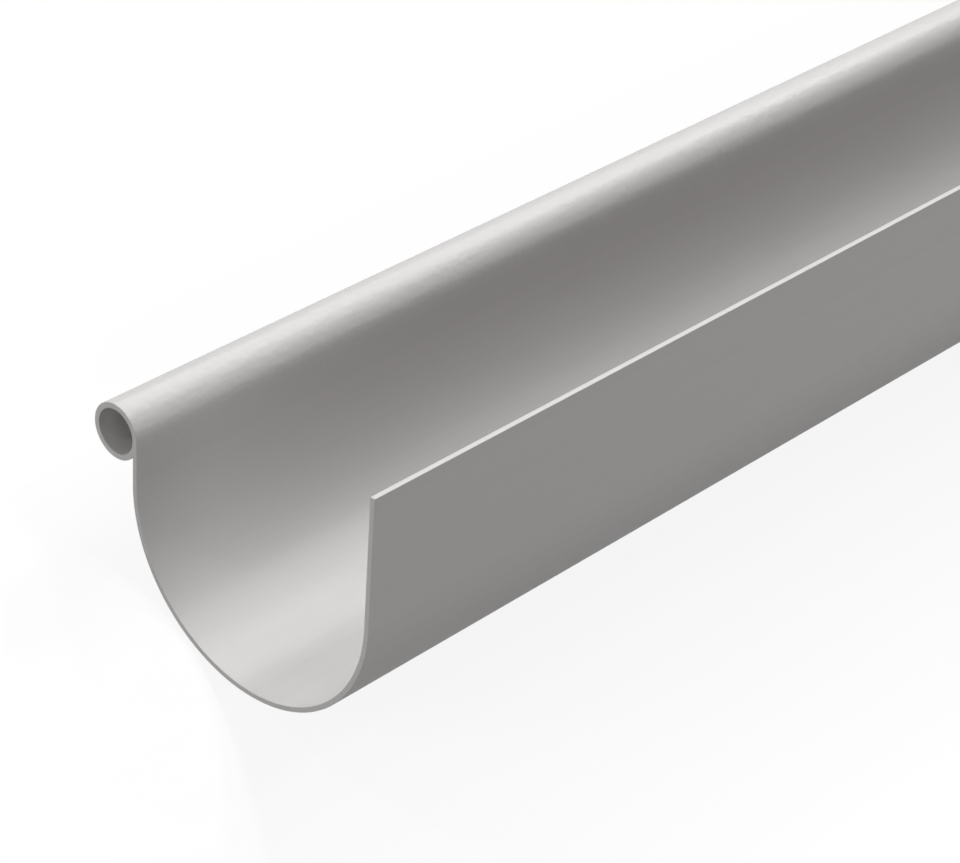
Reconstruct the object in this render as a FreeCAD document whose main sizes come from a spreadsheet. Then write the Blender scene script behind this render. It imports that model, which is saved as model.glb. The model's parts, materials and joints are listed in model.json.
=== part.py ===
import FreeCAD, Part
import math
import os
import Sketcher

# One length of half-round rain gutter, an extrusion in rigid PVC.
# The section is drawn about the axis of its round bottom: X across, Z up,
# with the hollow bead at the low (-X) side and the plain wall at +X.
# Millimetres throughout.

CHANNEL_DIA = 100.0   # clear width between the two walls
WALL = 1.8            # wall thickness of the channel
BEAD_DIA = 19.5       # outside of the hollow bead
BEAD_WALL = 2.0       # wall thickness of the bead
BEAD_HEIGHT = 15.5    # bead centre above the channel's axis
RIM_HEIGHT = 47.0     # top of the plain wall above the channel's axis
STOCK_LENGTH = 2000.0

os.makedirs("parts", exist_ok=True)
doc = FreeCAD.newDocument("gutter")


def add_sizes():
    sheet = doc.addObject("Spreadsheet::Sheet", "sizes")
    rows = (
        ("channel_dia", CHANNEL_DIA),
        ("wall", WALL),
        ("bead_dia", BEAD_DIA),
        ("bead_wall", BEAD_WALL),
        ("bead_height", BEAD_HEIGHT),
        ("rim_height", RIM_HEIGHT),
        ("stock_length", STOCK_LENGTH),
    )
    for row, (name, value) in enumerate(rows, 1):
        sheet.set("A%d" % row, name)
        sheet.set("B%d" % row, str(value))
        sheet.setAlias("B%d" % row, name)
    doc.recompute()
    return sheet


def point(x, z):
    return FreeCAD.Vector(x, z, 0)


def arc(centre, radius, start, end):
    circle = Part.Circle(centre, FreeCAD.Vector(0, 0, 1), radius)
    return Part.ArcOfCircle(circle, start, end)


def draw_section(body):
    """The closed outline, from inside the channel round to the bead, and the bead's bore."""
    plane = [f for f in body.Origin.OriginFeatures if f.Role == "XZ_Plane"][0]
    sketch = body.newObject("Sketcher::SketchObject", "section")
    sketch.AttachmentSupport = [(plane, "")]
    sketch.MapMode = "FlatFace"

    inner = CHANNEL_DIA / 2
    outer = inner + WALL
    bead = BEAD_DIA / 2
    bead_x = -inner - bead
    notch = math.sqrt(bead ** 2 - (bead - WALL) ** 2)
    notch_z = BEAD_HEIGHT - notch
    centre = point(0, 0)
    bead_centre = point(bead_x, BEAD_HEIGHT)

    inside = sketch.addGeometry(arc(centre, inner, math.pi, 2 * math.pi))
    plain_inside = sketch.addGeometry(
        Part.LineSegment(point(inner, 0), point(inner, RIM_HEIGHT)))
    rim = sketch.addGeometry(
        Part.LineSegment(point(inner, RIM_HEIGHT), point(outer, RIM_HEIGHT)))
    plain_outside = sketch.addGeometry(
        Part.LineSegment(point(outer, RIM_HEIGHT), point(outer, 0)))
    outside = sketch.addGeometry(arc(centre, outer, math.pi, 2 * math.pi))
    bead_outside = sketch.addGeometry(
        Part.LineSegment(point(-outer, 0), point(-outer, notch_z)))
    bead_arc = sketch.addGeometry(
        arc(bead_centre, bead, 0, 2 * math.pi - math.asin(notch / bead)))
    bead_inside = sketch.addGeometry(
        Part.LineSegment(point(-inner, BEAD_HEIGHT), point(-inner, 0)))
    bore = sketch.addGeometry(
        Part.Circle(bead_centre, FreeCAD.Vector(0, 0, 1), bead - BEAD_WALL))

    start, end, middle = 1, 2, 3
    joins = (
        (inside, end, plain_inside, start),
        (plain_inside, end, rim, start),
        (rim, end, plain_outside, start),
        (plain_outside, end, outside, end),
        (outside, start, bead_outside, start),
        (bead_outside, end, bead_arc, end),
        (bead_arc, start, bead_inside, start),
        (bead_inside, end, inside, start),
        (bore, middle, bead_arc, middle),
        (inside, middle, -1, 1),
        (outside, middle, -1, 1),
    )
    for join in joins:
        sketch.addConstraint(Sketcher.Constraint("Coincident", *join))
    for line in (plain_inside, plain_outside, bead_outside, bead_inside):
        sketch.addConstraint(Sketcher.Constraint("Vertical", line))
    sketch.addConstraint(Sketcher.Constraint("Horizontal", rim))
    for curve in (inside, outside):
        for end_point in (start, end):
            sketch.addConstraint(
                Sketcher.Constraint("PointOnObject", curve, end_point, -1))
    # The inner wall face runs up tangent to the bead.
    sketch.addConstraint(
        Sketcher.Constraint("Horizontal", bead_arc, middle, bead_arc, start))

    sized = (
        (("Radius", inside, inner), "sizes.channel_dia / 2"),
        (("Radius", outside, outer), "sizes.channel_dia / 2 + sizes.wall"),
        (("Radius", bead_arc, bead), "sizes.bead_dia / 2"),
        (("Radius", bore, bead - BEAD_WALL), "sizes.bead_dia / 2 - sizes.bead_wall"),
        (("DistanceY", -1, 1, bead_arc, middle, BEAD_HEIGHT), "sizes.bead_height"),
        (("DistanceY", -1, 1, rim, start, RIM_HEIGHT), "sizes.rim_height"),
    )
    for constraint, expression in sized:
        index = sketch.addConstraint(Sketcher.Constraint(*constraint))
        sketch.setExpression("Constraints[%d]" % index, expression)
    doc.recompute()
    return sketch


def make_gutter():
    body = doc.addObject("PartDesign::Body", "gutter")
    body.Label = "gutter"
    section = draw_section(body)
    pad = body.newObject("PartDesign::Pad", "extrusion")
    pad.Profile = section
    pad.setExpression("Length", "sizes.stock_length")
    doc.recompute()
    return body


def lay_down(body):
    """Roll the length about the channel's axis until its mass hangs below that axis,
    then set it on the floor with the origin under the middle of its box."""
    mass = body.Shape.CenterOfMass
    roll = math.degrees(math.atan2(-mass.x, -mass.z))
    turn = FreeCAD.Rotation(FreeCAD.Vector(0, 1, 0), -roll)
    body.Placement = FreeCAD.Placement(FreeCAD.Vector(0, 0, 0), turn)
    doc.recompute()
    box = body.Shape.optimalBoundingBox(False, False)
    shift = FreeCAD.Vector(-box.Center.x, -box.Center.y, -box.ZMin)
    body.Placement = FreeCAD.Placement(shift, turn)
    doc.recompute()


def check(body):
    for item in doc.Objects:
        if "Invalid" in item.State or "Error" in item.State:
            raise RuntimeError("%s did not compute: %s" % (item.Name, item.State))
    shape = body.Shape
    if shape.isNull() or not shape.isValid() or len(shape.Solids) != 1:
        raise RuntimeError("the gutter is not one sound solid")


sizes = add_sizes()
gutter = make_gutter()
lay_down(gutter)
check(gutter)
gutter.Shape.exportStep("parts/gutter.step")
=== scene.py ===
import json
import math

import bmesh
import bpy
from mathutils import Matrix, Vector


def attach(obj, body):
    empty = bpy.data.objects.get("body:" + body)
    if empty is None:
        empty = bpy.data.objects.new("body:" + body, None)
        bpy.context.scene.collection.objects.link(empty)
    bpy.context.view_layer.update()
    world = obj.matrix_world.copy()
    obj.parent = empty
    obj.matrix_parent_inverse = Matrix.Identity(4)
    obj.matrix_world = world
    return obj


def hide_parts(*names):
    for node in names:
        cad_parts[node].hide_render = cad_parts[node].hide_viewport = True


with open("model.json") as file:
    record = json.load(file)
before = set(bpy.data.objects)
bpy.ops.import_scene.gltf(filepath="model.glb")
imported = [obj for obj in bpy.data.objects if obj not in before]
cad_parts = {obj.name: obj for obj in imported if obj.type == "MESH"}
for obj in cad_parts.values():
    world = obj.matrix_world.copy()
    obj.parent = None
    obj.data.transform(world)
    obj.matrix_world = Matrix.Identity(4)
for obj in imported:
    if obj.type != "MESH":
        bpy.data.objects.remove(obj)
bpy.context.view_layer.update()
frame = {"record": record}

# One length of half-round rain gutter, extruded in warm grey PVC.
# It is modelled upright about the axis of its round bottom, X across and Z up,
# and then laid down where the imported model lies.

mounts = {m["name"]: m for m in frame["record"]["mounts"]}
SEAT = Vector(mounts["bracket_seat"]["pos_m"])
UP = Vector(mounts["plain_edge"]["axis"])
LAID = Matrix.Translation(SEAT) @ Matrix.Rotation(math.atan2(UP.x, UP.z), 4, "Y")


def in_section(name):
    """A mount's place in the upright section: X across, Z up from the channel's axis."""
    return LAID.inverted() @ Vector(mounts[name]["pos_m"])


BEAD = in_section("bead_outside")
BEAD_R = mounts["bead_outside"]["dims"]["r_mm"] / 1000
BORE_R = mounts["bead_bore"]["dims"]["r_mm"] / 1000
OUTER_R = mounts["bracket_seat"]["dims"]["r_mm"] / 1000
INNER_R = -BEAD.x - BEAD_R
WALL = OUTER_R - INNER_R
RIM = in_section("plain_edge").z
NEAR = in_section("near_end").y
LENGTH = in_section("far_end").y - NEAR
ALONG = Vector((0, 1, 0))

# How near counts as touching, and as lying on the bead's curve, in metres.
TOUCHING = 1e-6
ON_ARC = 2e-5

# The broken corners of the sawn ends and of the plain edge: metres, and steps across.
BROKEN_EDGE = 0.00018
BROKEN_EDGE_STEPS = 3

# Steps round the channel's half circle, round the open bead, and along the bead's web.
CHANNEL_STEPS = 144
BEAD_STEPS = 96
WEB_STEPS = 10

# Corners sharper than the first are broken; folds flatter than the second shade smooth.
SHARP_CORNER = math.radians(60)
SMOOTH_FOLD = math.radians(10)

# The skin's shades, its faint die lines, and the saw's dry face.
PVC_DEEP = (0.422, 0.411, 0.406, 1)
PVC_PALE = (0.440, 0.429, 0.424, 1)
PVC_LINE = (0.415, 0.404, 0.399, 1)
SAWN_DEEP = (0.445, 0.434, 0.429, 1)
SAWN_PALE = (0.505, 0.494, 0.488, 1)

# Roughness: the skin's drift, what the die lines change, and what sawing adds.
SATIN_LOW, SATIN_HIGH = 0.46, 0.53
LINE_POLISH = 0.02
SAWN_DRYNESS = 0.2

# How deep the bead's grain, the die lines and the saw marks go, in metres.
GRAIN_DEPTH = 0.0002
DIE_LINE_DEPTH = 0.000003
SAW_MARK_DEPTH = 0.00006

# The grain fades out this many radii from the bead's centre, down to the wall's share.
GRAIN_REACH = 1.6
WALL_GRAIN_SHARE = 0.12

# How far in from its end the length counts as sawn, in metres.
SAWN_SKIN = 0.00005

# The floor's colour where it is seen and where it only lights the piece. The shares say
# how much of the shadow shows on it, looked at straight and in a gloss.
FLOOR_LOOK = (0.9, 0.9, 0.9, 1)
FLOOR_BOUNCE = (0.04, 0.04, 0.04, 1)
FLOOR_ROUGHNESS = 0.9
SHADOW_SHARE = 0.12
MIRRORED_SHADOW_SHARE = 0.9

# The floor reaches this far each way and lies this far under the piece, in metres.
FLOOR_REACH = 40
FLOOR_DROP = 0.0005

# How strongly the white world lights the piece. Looked at, it has its full strength.
WORLD_FILL = 0.03

# Only a lamp's direction counts, so they all stand this far off, in metres.
LAMP_DISTANCE = 2

# Each lamp: degrees round the section (0 the plain side, 90 up, 180 the bead side),
# degrees towards the near end, strength, and softness in degrees.
LAMPS = (
    ("plain_side", 0, 34, 0.72, 40),
    ("far_plain_side", 16, -30, 0.47, 6),
    ("near_end", 0, 60, 0.22, 24),
    ("over_plain", 61, -30, 0.38, 4),
    ("high_plain", 75, -30, 0.38, 8),
    ("top", 90, -30, 0.53, 10),
    ("near_top", 90, 60, 1.10, 25),
    ("over_bead", 108, -30, 0.50, 4),
    ("near_over_bead", 108, 30, 0.38, 4),
    ("far_over_bead", 100, -45, 1.13, 8),
    ("far_bead_side", 120, -30, 0.53, 8),
    ("bead_side", 132, -30, 0.60, 10),
    ("low_bead", 143, 10, 0.31, 12),
)

# The camera in the upright section's frame: metres, degrees and millimetres.
CAMERA_STAND = (0.59458, -1.57158, 0.58435)
CAMERA_HEADING = 41.434
CAMERA_DIP = 33.013
CAMERA_ROLL = 3.884
CAMERA_LENS = 125.36
CAMERA_SENSOR = 36
CAMERA_NEAREST = 0.05
CAMERA_FARTHEST = 100


# ---------------------------------------------------------------- shape

def move(bm, geom, by):
    """Shifts the corners found in geom."""
    verts = [g for g in geom if isinstance(g, bmesh.types.BMVert)]
    bmesh.ops.translate(bm, verts=verts, vec=by)


def first_edge(bm, a, b):
    return bm.edges.new((bm.verts.new(a), bm.verts.new(b)))


def run_edge(bm, edge, by):
    """Sweeps an edge straight, and gives the edge at the end of the sweep."""
    made = bmesh.ops.extrude_edge_only(bm, edges=[edge])["geom"]
    move(bm, made, by)
    return next(g for g in made if isinstance(g, bmesh.types.BMEdge))


def turn_edge(bm, edge, centre, angle, steps):
    """Sweeps an edge round a centre, and gives the edge at the end of the sweep."""
    made = bmesh.ops.spin(
        bm, geom=[*edge.verts, edge], cent=centre, axis=ALONG, angle=angle,
        steps=steps, use_merge=False)["geom_last"]
    return next(g for g in made if isinstance(g, bmesh.types.BMEdge))


def draw_channel(bm, notch_z):
    """The wall, from the plain edge down, round the bottom and up to the bead's notch."""
    rim = first_edge(bm, (INNER_R, NEAR, RIM), (OUTER_R, NEAR, RIM))
    foot = run_edge(bm, rim, (0, 0, -RIM))
    turned = turn_edge(bm, foot, (0, NEAR, 0), math.pi, CHANNEL_STEPS)
    return run_edge(bm, turned, (0, 0, notch_z))


def draw_bead(bm, notch_angle):
    """The hollow bead, round from where the inner wall face meets it."""
    centre = (BEAD.x, NEAR, BEAD.z)
    start = first_edge(
        bm, (BEAD.x + BORE_R, NEAR, BEAD.z), (BEAD.x + BEAD_R, NEAR, BEAD.z))
    notch = turn_edge(bm, start, centre, -(2 * math.pi - notch_angle), BEAD_STEPS)
    turn_edge(bm, notch, centre, -notch_angle, WEB_STEPS)


def fill_web(bm, notch_z):
    """The small solid corner between the bead and the top of the wall."""
    def at(vert, x, z):
        return abs(vert.co.x - x) < TOUCHING and abs(vert.co.z - z) < TOUCHING

    corner = next(v for v in bm.verts if at(v, -INNER_R, notch_z))
    tangent = next(v for v in bm.verts if at(v, -INNER_R, BEAD.z))
    side = [bm.edges.new((corner, tangent))]
    top = [e for e in bm.edges if corner in e.verts and e.is_boundary
           and abs(e.verts[0].co.z - e.verts[1].co.z) < TOUCHING]
    arc = []
    for edge in bm.edges:
        middle = (edge.verts[0].co + edge.verts[1].co) / 2
        from_centre = math.hypot(middle.x - BEAD.x, middle.z - BEAD.z)
        on_bead = abs(from_centre - BEAD_R) < ON_ARC
        beside_web = notch_z < middle.z < BEAD.z and middle.x > -OUTER_R
        if edge.is_boundary and on_bead and beside_web:
            arc.append(edge)
    bmesh.ops.contextual_create(bm, geom=side + top + arc)


def break_edges(bm):
    """Takes the sharpness off the sawn ends and the plain edge."""
    ends = (NEAR, NEAR + LENGTH)

    def on_end(edge):
        return any(all(abs(v.co.y - y) < TOUCHING for v in edge.verts) for y in ends)

    def on_rim(edge):
        return all(v.co.x > 0 and abs(v.co.z - RIM) < TOUCHING for v in edge.verts)

    sharp = [e for e in bm.edges
             if (on_end(e) or on_rim(e)) and e.calc_face_angle(0) > SHARP_CORNER]
    bmesh.ops.bevel(
        bm, geom=sharp, offset=BROKEN_EDGE, segments=BROKEN_EDGE_STEPS, profile=0.5,
        affect="EDGES", material=-1)


def smooth_curves(bm):
    """Curved faces shade smooth; flats, corners and ends keep their edges."""
    for face in bm.faces:
        face.smooth = True
    for edge in bm.edges:
        edge.smooth = edge.calc_face_angle(0) < SMOOTH_FOLD


def shape_gutter():
    """The whole length as a closed mesh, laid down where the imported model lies."""
    bm = bmesh.new()
    notch = math.asin(math.sqrt(BEAD_R ** 2 - (BEAD_R - WALL) ** 2) / BEAD_R)
    notch_z = BEAD.z - BEAD_R * math.sin(notch)
    draw_channel(bm, notch_z)
    draw_bead(bm, notch)
    bmesh.ops.remove_doubles(bm, verts=bm.verts[:], dist=TOUCHING)
    fill_web(bm, notch_z)
    bmesh.ops.recalc_face_normals(bm, faces=bm.faces[:])
    made = bmesh.ops.extrude_face_region(bm, geom=bm.faces[:])["geom"]
    move(bm, made, (0, LENGTH, 0))
    bmesh.ops.recalc_face_normals(bm, faces=bm.faces[:])
    break_edges(bm)
    bmesh.ops.recalc_face_normals(bm, faces=bm.faces[:])
    smooth_curves(bm)
    bmesh.ops.transform(bm, matrix=LAID, verts=bm.verts[:])
    return bm


def add_object(name, bm):
    """Puts a finished mesh into the scene under its name."""
    mesh = bpy.data.meshes.new(name)
    bm.to_mesh(mesh)
    bm.free()
    made = bpy.data.objects.new(name, mesh)
    bpy.context.scene.collection.objects.link(made)
    return made


def make_gutter():
    piece = add_object("gutter_profile", shape_gutter())
    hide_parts("gutter")
    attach(piece, "root")
    return piece


# ---------------------------------------------------------------- materials

def new_material(name):
    """A material with nodes, and its nodes and links."""
    material = bpy.data.materials.new(name)
    material.use_nodes = True
    return material, material.node_tree.nodes, material.node_tree.links


def noise(nodes, links, vector, scale, detail, stretch=(1, 1, 1), turn=(0, 0, 0)):
    """A noise pattern, drawn out by stretch, as a plain 0 to 1 value."""
    mapping = nodes.new("ShaderNodeMapping")
    mapping.inputs["Scale"].default_value = stretch
    mapping.inputs["Rotation"].default_value = turn
    links.new(vector, mapping.inputs["Vector"])
    pattern = nodes.new("ShaderNodeTexNoise")
    pattern.inputs["Scale"].default_value = scale
    pattern.inputs["Detail"].default_value = detail
    links.new(mapping.outputs["Vector"], pattern.inputs["Vector"])
    return pattern.outputs["Fac"]


def between(nodes, links, value, low, high, start=0.3, end=0.7):
    """Spreads a value that runs from start to end over low to high."""
    spread = nodes.new("ShaderNodeMapRange")
    spread.inputs["From Min"].default_value = start
    spread.inputs["From Max"].default_value = end
    spread.inputs["To Min"].default_value = low
    spread.inputs["To Max"].default_value = high
    links.new(value, spread.inputs["Value"])
    return spread.outputs["Result"]


def calculate(nodes, links, operation, first, second):
    """One sum of two values, each a number or another node's value."""
    math_node = nodes.new("ShaderNodeMath")
    math_node.operation = operation
    for socket, value in zip(math_node.inputs, (first, second)):
        if isinstance(value, (int, float)):
            socket.default_value = value
        else:
            links.new(value, socket)
    return math_node.outputs["Value"]


def blend_colours(nodes, links, factor, first, second):
    """From the first colour at 0 to the second at 1."""
    mix = nodes.new("ShaderNodeMix")
    mix.data_type = "RGBA"
    links.new(factor, mix.inputs["Factor"])
    for socket, value in ((mix.inputs["A"], first), (mix.inputs["B"], second)):
        if isinstance(value, tuple):
            socket.default_value = value
        else:
            links.new(value, socket)
    return mix.outputs["Result"]


def raise_surface(nodes, links, height, distance, below=None):
    """Raises the shading by a height, on top of what lies below."""
    bump = nodes.new("ShaderNodeBump")
    bump.inputs["Distance"].default_value = distance
    bump.inputs["Strength"].default_value = 1.0
    links.new(height, bump.inputs["Height"])
    if below is not None:
        links.new(below, bump.inputs["Normal"])
    return bump.outputs["Normal"]


def near_bead(nodes, links, coords):
    """1 on the bead's skin, fading to 0 just down the wall."""
    across = nodes.new("ShaderNodeVectorMath")
    across.operation = "MULTIPLY"
    across.inputs[1].default_value = (1, 0, 1)
    links.new(coords, across.inputs[0])
    apart = nodes.new("ShaderNodeVectorMath")
    apart.operation = "DISTANCE"
    centre = LAID @ Vector((BEAD.x, 0, BEAD.z))
    apart.inputs[1].default_value = (centre.x, 0, centre.z)
    links.new(across.outputs["Vector"], apart.inputs[0])
    return between(
        nodes, links, apart.outputs["Value"], 1, 0, BEAD_R, BEAD_R * GRAIN_REACH)


def on_sawn_end(nodes, links, coords):
    """1 on the two sawn ends, 0 everywhere else."""
    parts = nodes.new("ShaderNodeSeparateXYZ")
    links.new(coords, parts.inputs["Vector"])
    along = calculate(nodes, links, "ABSOLUTE", parts.outputs["Y"], 0)
    return calculate(nodes, links, "GREATER_THAN", along, LENGTH / 2 - SAWN_SKIN)


def grey_pvc():
    """Rigid PVC as it leaves the die: satin, light warm grey, the same all through."""
    material, nodes, links = new_material("grey_pvc")
    shader = nodes["Principled BSDF"]
    shader.inputs["Specular IOR Level"].default_value = 0.5
    coords = nodes.new("ShaderNodeTexCoord").outputs["Object"]

    die_lines = noise(
        nodes, links, coords, scale=700, detail=2, stretch=(1, 0.0008, 1))
    drift = noise(nodes, links, coords, scale=5, detail=3, stretch=(6, 1, 6))
    grain = noise(nodes, links, coords, scale=420, detail=2)
    saw_marks = noise(
        nodes, links, coords, scale=60, detail=3, stretch=(1, 1, 34), turn=(0, 0.2, 0))
    sawn = on_sawn_end(nodes, links, coords)

    # A shade darker and lighter in slow drifts and in faint lines along the length.
    skin = blend_colours(
        nodes, links, between(nodes, links, drift, 0, 1), PVC_DEEP, PVC_PALE)
    lined = blend_colours(
        nodes, links, between(nodes, links, die_lines, 0, 0.5), skin, PVC_LINE)
    cut = blend_colours(
        nodes, links, between(nodes, links, saw_marks, 0, 1), SAWN_DEEP, SAWN_PALE)
    links.new(blend_colours(nodes, links, sawn, lined, cut), shader.inputs["Base Color"])

    # Satin skin, a little drier along some lines; the sawn ends are matt.
    polish = calculate(
        nodes, links, "ADD", between(nodes, links, drift, SATIN_LOW, SATIN_HIGH),
        between(nodes, links, die_lines, -LINE_POLISH, LINE_POLISH))
    matt = calculate(nodes, links, "MULTIPLY", sawn, SAWN_DRYNESS)
    links.new(calculate(nodes, links, "ADD", polish, matt), shader.inputs["Roughness"])

    # The bead's skin is a little coarser than the wall's.
    coarse = calculate(
        nodes, links, "MULTIPLY", grain,
        calculate(nodes, links, "ADD", near_bead(nodes, links, coords), WALL_GRAIN_SHARE))
    scored = calculate(nodes, links, "MULTIPLY", saw_marks, sawn)
    surface = raise_surface(nodes, links, coarse, GRAIN_DEPTH)
    surface = raise_surface(nodes, links, die_lines, DIE_LINE_DEPTH, surface)
    surface = raise_surface(nodes, links, scored, SAW_MARK_DEPTH, surface)
    links.new(surface, shader.inputs["Normal"])
    return material


def seen_directly(nodes, links):
    """1 for what is looked at, straight, in a gloss or through glass; 0 for lighting."""
    path = nodes.new("ShaderNodeLightPath")
    shiny = calculate(
        nodes, links, "MAXIMUM", path.outputs["Is Glossy Ray"],
        path.outputs["Is Transmission Ray"])
    return calculate(nodes, links, "MAXIMUM", path.outputs["Is Camera Ray"], shiny)


def matt_shader(nodes, colour):
    """A plain matt colour without any gloss."""
    shader = nodes.new("ShaderNodeBsdfPrincipled")
    shader.inputs["Base Color"].default_value = colour
    shader.inputs["Roughness"].default_value = FLOOR_ROUGHNESS
    shader.inputs["Specular IOR Level"].default_value = 0.0
    return shader.outputs["BSDF"]


def mix_shaders(nodes, links, factor, first, second):
    """From the first shader at 0 to the second at 1."""
    mix = nodes.new("ShaderNodeMixShader")
    links.new(factor, mix.inputs["Fac"])
    links.new(first, mix.inputs[1])
    links.new(second, mix.inputs[2])
    return mix.outputs["Shader"]


def floor_paint():
    """A pale matt floor, seen as white with a faint shadow, that bounces little light."""
    material, nodes, links = new_material("floor_paint")
    nodes.remove(nodes["Principled BSDF"])
    glow = nodes.new("ShaderNodeEmission")
    glow.inputs["Strength"].default_value = 1.0
    straight = nodes.new("ShaderNodeLightPath").outputs["Is Camera Ray"]
    shadow_share = between(
        nodes, links, straight, MIRRORED_SHADOW_SHARE, SHADOW_SHARE, 0, 1)
    look = mix_shaders(
        nodes, links, shadow_share,
        glow.outputs["Emission"], matt_shader(nodes, FLOOR_LOOK))
    floor = mix_shaders(
        nodes, links, seen_directly(nodes, links),
        matt_shader(nodes, FLOOR_BOUNCE), look)
    links.new(floor, nodes["Material Output"].inputs["Surface"])
    return material


# ---------------------------------------------------------------- stage

def make_floor():
    bm = bmesh.new()
    bmesh.ops.create_grid(bm, x_segments=1, y_segments=1, size=FLOOR_REACH)
    floor = add_object("floor", bm)
    floor.location.z = -FLOOR_DROP
    floor.data.materials.append(floor_paint())


def add_lamp(name, round_section, to_near_end, strength, softness):
    """A soft lamp far off, set by its direction in the upright section's frame."""
    data = bpy.data.lights.new(name, "SUN")
    data.energy = strength
    data.angle = math.radians(softness)
    lamp = bpy.data.objects.new(name, data)
    bpy.context.scene.collection.objects.link(lamp)
    turned, tipped = math.radians(round_section), math.radians(to_near_end)
    towards = Vector((math.cos(tipped) * math.cos(turned), -math.sin(tipped),
                      math.cos(tipped) * math.sin(turned)))
    lamp.location = LAID @ (towards * LAMP_DISTANCE)
    lamp.rotation_euler = (LAID.to_3x3() @ towards).to_track_quat("Z", "Y").to_euler()


def light_up():
    """A white world that gives hardly any light, and the lamps."""
    world = bpy.data.worlds.new("studio")
    bpy.context.scene.world = world
    world.use_nodes = True
    nodes, links = world.node_tree.nodes, world.node_tree.links
    nodes["Background"].inputs["Color"].default_value = (1, 1, 1, 1)
    strength = between(nodes, links, seen_directly(nodes, links), WORLD_FILL, 1, 0, 1)
    links.new(strength, nodes["Background"].inputs["Strength"])
    for lamp in LAMPS:
        add_lamp(*lamp)


def place_camera():
    """Stands off the near end, to the plain side and above."""
    data = bpy.data.cameras.new("camera")
    data.sensor_width = CAMERA_SENSOR
    data.lens = CAMERA_LENS
    data.clip_start = CAMERA_NEAREST
    data.clip_end = CAMERA_FARTHEST
    camera = bpy.data.objects.new("camera", data)
    bpy.context.scene.collection.objects.link(camera)
    stand = Matrix.Translation(CAMERA_STAND)
    heading = Matrix.Rotation(math.radians(CAMERA_HEADING), 4, "Z")
    pitch = Matrix.Rotation(math.radians(90 - CAMERA_DIP), 4, "X")
    roll = Matrix.Rotation(math.radians(CAMERA_ROLL), 4, "Z")
    camera.matrix_world = LAID @ stand @ heading @ pitch @ roll
    bpy.context.scene.camera = camera


bpy.context.scene.view_settings.view_transform = "Standard"
gutter = make_gutter()
gutter.data.materials.append(grey_pvc())
make_floor()
light_up()
place_camera()
